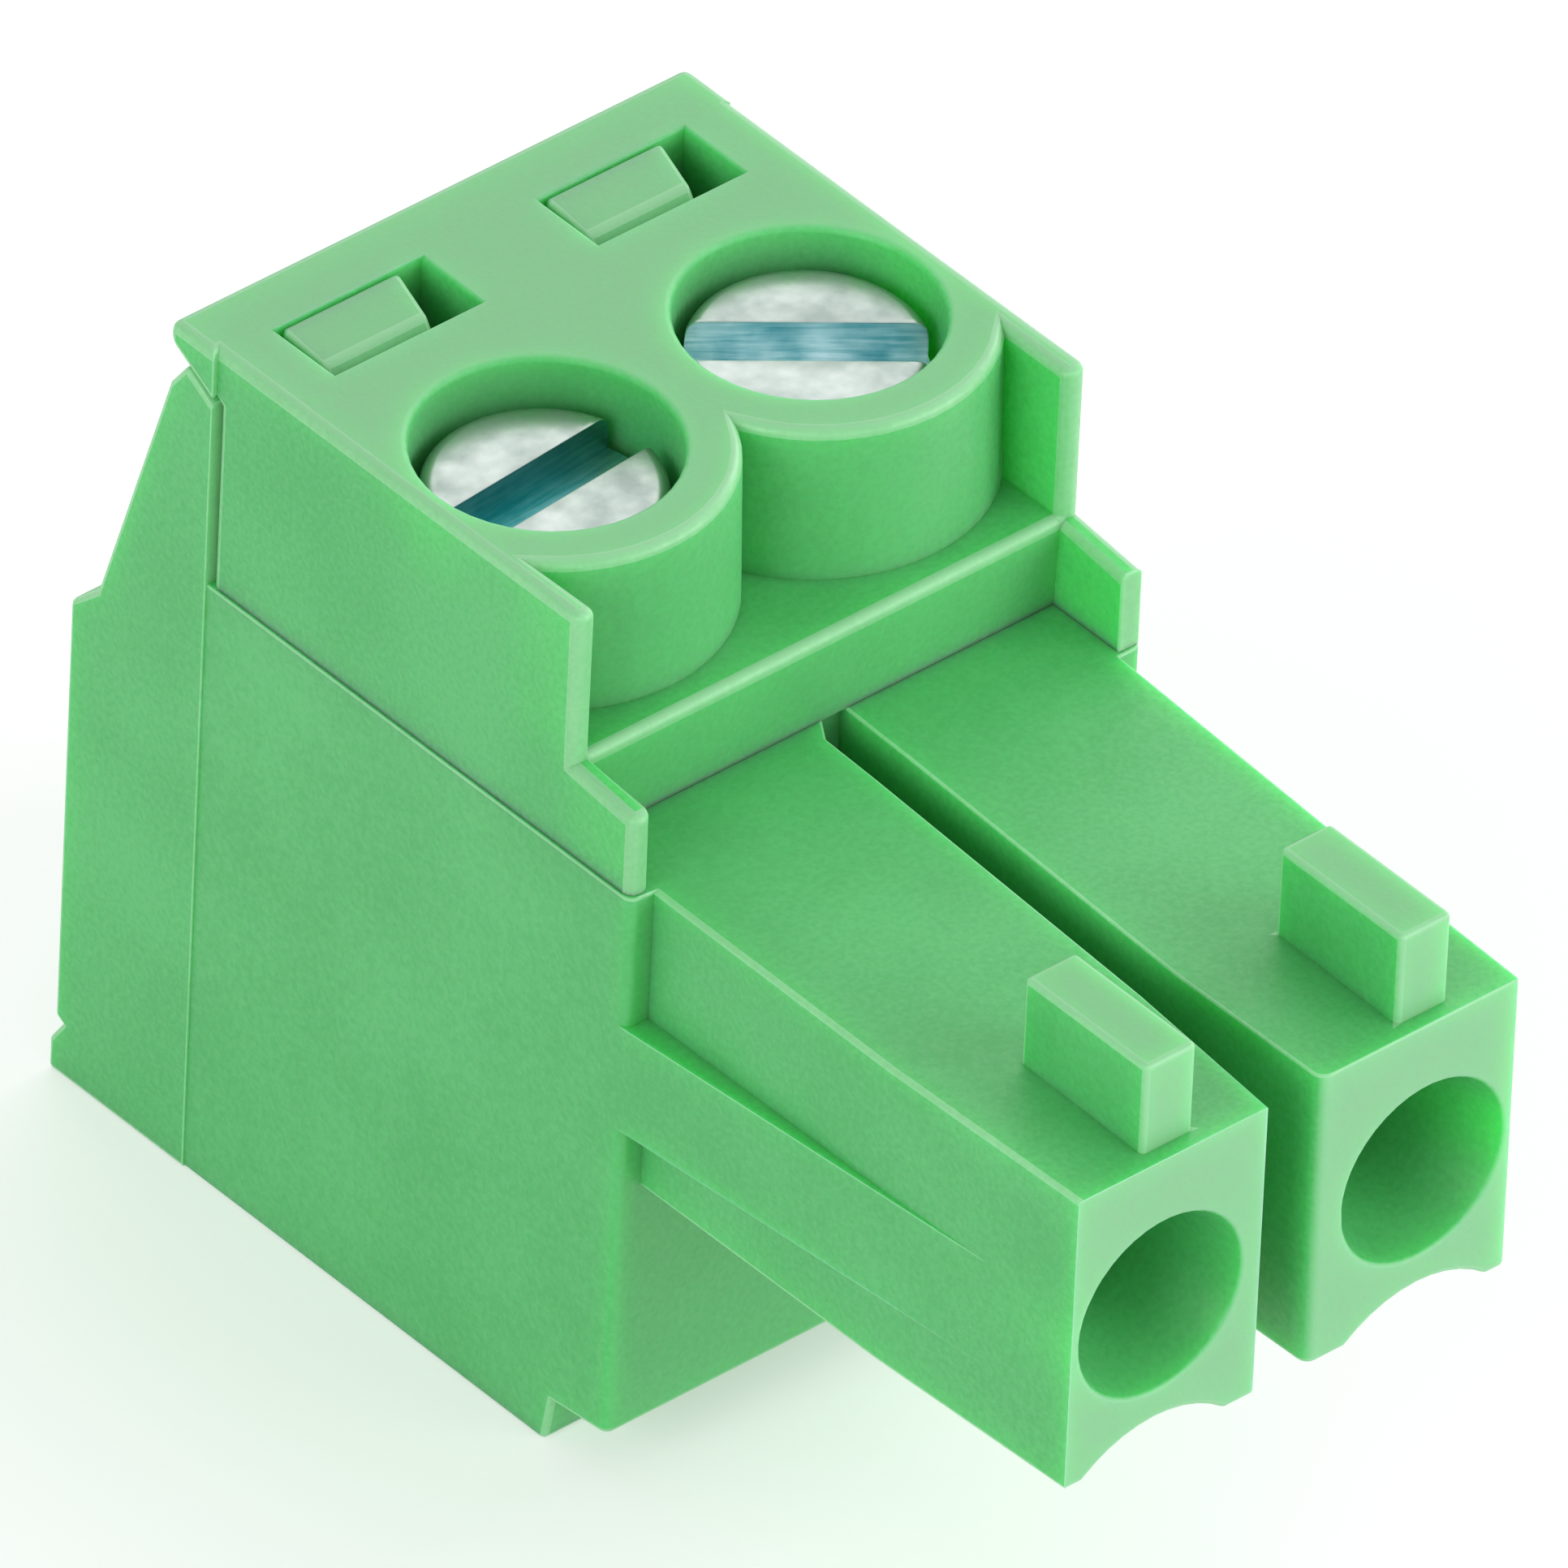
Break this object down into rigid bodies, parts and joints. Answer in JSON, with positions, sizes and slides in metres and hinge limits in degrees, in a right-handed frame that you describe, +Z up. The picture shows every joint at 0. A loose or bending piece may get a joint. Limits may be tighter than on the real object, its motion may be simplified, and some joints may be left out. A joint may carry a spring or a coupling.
{
  "type": "pluggable terminal block",
  "caption": "Plug-in screw terminal block with a row of pin-entry fingers, clip-on cap with round screw turrets, and rising-cage wire clamps that the slotted screws drive.",
  "frame": {"origin": "centre of the bounding box in plan, on the underside of the foot", "axes": "+X along the row of poles, -Y the way the plug goes into its header, +Z up towards the screw heads"},
  "size_m": [0.0074, 0.0164, 0.0114],
  "materials": {
    "base_polyamide": "fine matt moulded polyamide",
    "cap_polyamide": "fine matt moulded polyamide",
    "screw_steel": "zinc plated",
    "cage_steel": "zinc plated",
    "contact_alloy": "tin-plated copper alloy"
  },
  "bodies": {
    "housing": {"base_housing": "base_polyamide", "cap_housing": "cap_polyamide", "contact_1": "contact_alloy", "contact_2": "contact_alloy"},
    "screw_1": {"clamp_screw_1": "screw_steel"},
    "screw_2": {"clamp_screw_2": "screw_steel"},
    "cage_1": {"clamp_cage_1": "cage_steel"},
    "cage_2": {"clamp_cage_2": "cage_steel"}
  },
  "joints": [
    {"name": "screw_1_turn", "type": "hinge", "parent": "housing", "child": "screw_1", "pos_m": [-0.00191, 0.00241, 0.01], "axis": [0, 0, 1], "range_deg": [-1800, 0]},
    {"name": "screw_2_turn", "type": "hinge", "parent": "housing", "child": "screw_2", "pos_m": [0.00191, 0.00241, 0.01], "axis": [0, 0, 1], "range_deg": [-1800, 0]},
    {"name": "cage_1_rise", "type": "slide", "parent": "housing", "child": "cage_1", "axis": [0, 0, 1], "range_m": [0, 0.002]},
    {"name": "cage_2_rise", "type": "slide", "parent": "housing", "child": "cage_2", "axis": [0, 0, 1], "range_m": [0, 0.002]}
  ],
  "couplings": [
    {"joint": "screw_1_turn", "follows": "cage_1_rise", "rad_per_m": -15708},
    {"joint": "screw_2_turn", "follows": "cage_2_rise", "rad_per_m": -15708}
  ]
}
